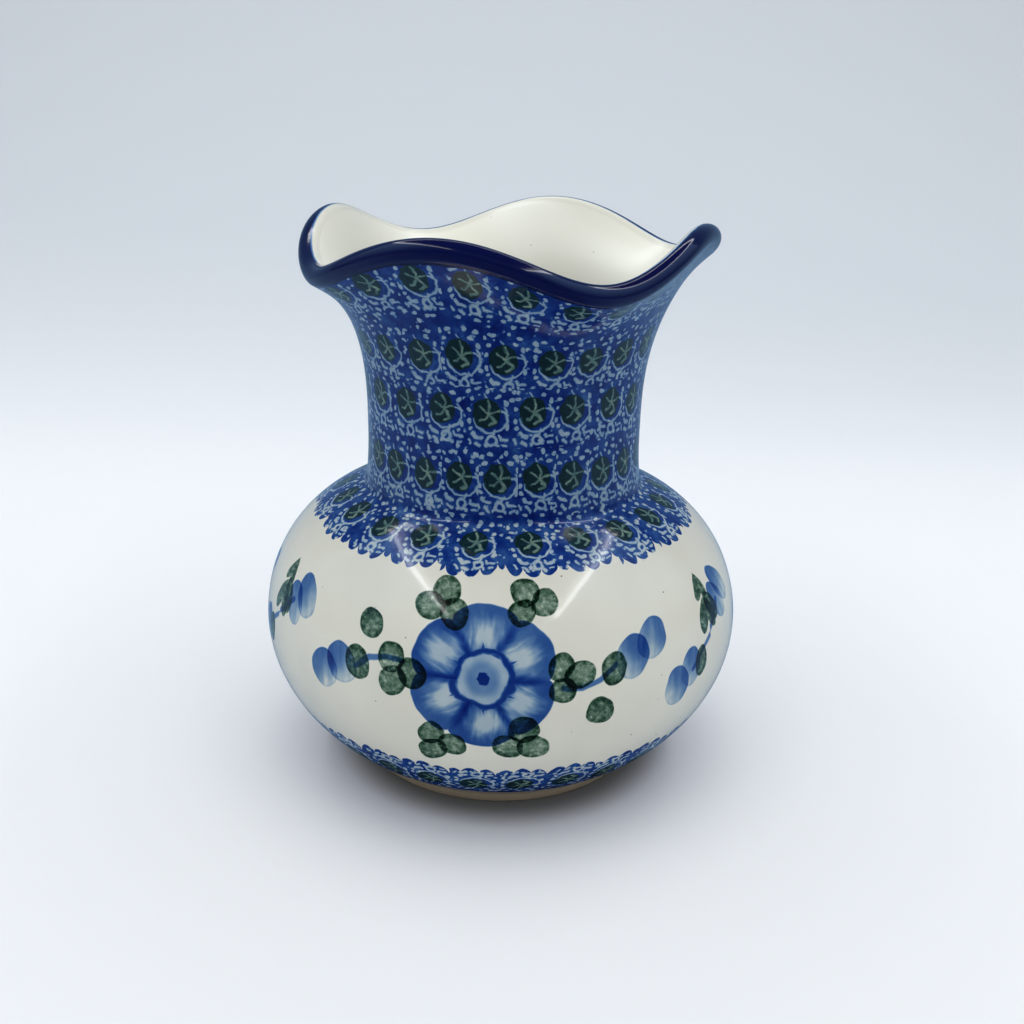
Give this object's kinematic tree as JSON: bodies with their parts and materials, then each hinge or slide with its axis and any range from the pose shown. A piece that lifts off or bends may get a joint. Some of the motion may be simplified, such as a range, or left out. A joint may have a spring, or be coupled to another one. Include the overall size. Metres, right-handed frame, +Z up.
{
  "type": "pottery vase",
  "caption": "Round-bellied stoneware flower vase with a turned foot ring, a drawn-in neck and a ruffled mouth with a rolled lip.",
  "frame": {"origin": "on the standing surface, on the vase's axis", "axes": "+Z up along the vase's axis, -Y towards the viewer of the picture, +X to the viewer's right"},
  "size_m": [0.12, 0.12, 0.1376],
  "materials": {
    "bare_clay": "bare fired stoneware, matt",
    "belly_glaze": "glossy cream glaze with stamped blue and green flowers and lace borders",
    "neck_glaze": "glossy glaze over a blue stamped ground with green dots outside, plain cream inside",
    "rim_glaze": "glossy glaze, dark cobalt band on the rolled lip"
  },
  "bodies": {
    "root": {"foot_ring": "bare_clay", "belly": "belly_glaze", "neck": "neck_glaze", "ruffled_rim": "rim_glaze"}
  },
  "joints": []
}
